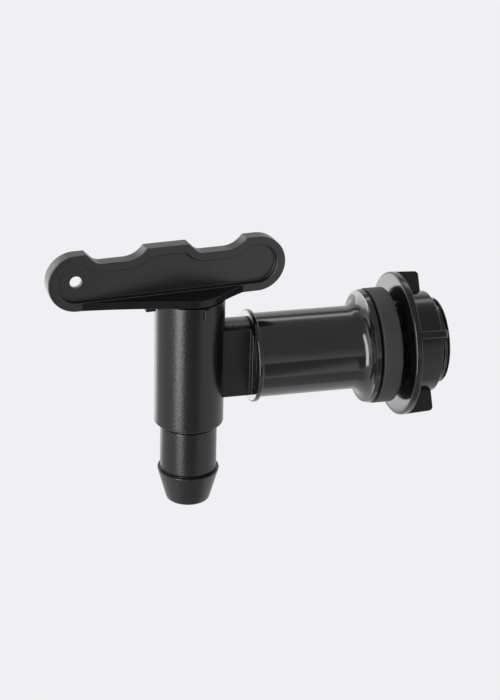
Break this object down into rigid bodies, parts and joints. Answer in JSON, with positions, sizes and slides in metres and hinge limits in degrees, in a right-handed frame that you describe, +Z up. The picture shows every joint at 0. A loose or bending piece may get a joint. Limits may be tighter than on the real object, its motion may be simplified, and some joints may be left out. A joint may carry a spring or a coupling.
{
  "type": "water butt tap",
  "caption": "Lever tap with a hose tail below its barrel, and a threaded stem that a rubber washer and a winged nut hold in a water butt's wall.",
  "frame": {"origin": "on the axis of the threaded stem, where the washer's outer face meets the butt's wall", "axes": "+X along the stem into the butt, +Z up the tap's barrel, +Y to the left of someone who faces along +X"},
  "size_m": [0.1385, 0.0506, 0.0956],
  "materials": {
    "body_moulding": "satin black, with a faint grain",
    "lever_moulding": "satin black",
    "stem_moulding": "smooth black, glossier than the barrel",
    "nut_moulding": "satin black",
    "seal_rubber": "matt dark grey rubber"
  },
  "bodies": {
    "tap": {"tap_body": "body_moulding", "inlet_stem": "stem_moulding", "spigot_ring": "seal_rubber", "sealing_washer": "seal_rubber"},
    "lever": {"lever_key": "lever_moulding", "upper_plug_ring": "seal_rubber", "lower_plug_ring": "seal_rubber", "shut_off_pad": "seal_rubber"},
    "nut": {"back_nut": "nut_moulding"}
  },
  "joints": [
    {"name": "lever_turn", "type": "hinge", "parent": "tap", "child": "lever", "pos_m": [-0.0704, 0, 0], "axis": [0, 0, 1], "range_deg": [-6, 84]},
    {"name": "nut_travel", "type": "slide", "parent": "tap", "child": "nut", "axis": [1, 0, 0], "range_m": [-0.0025, 0.02]}
  ]
}
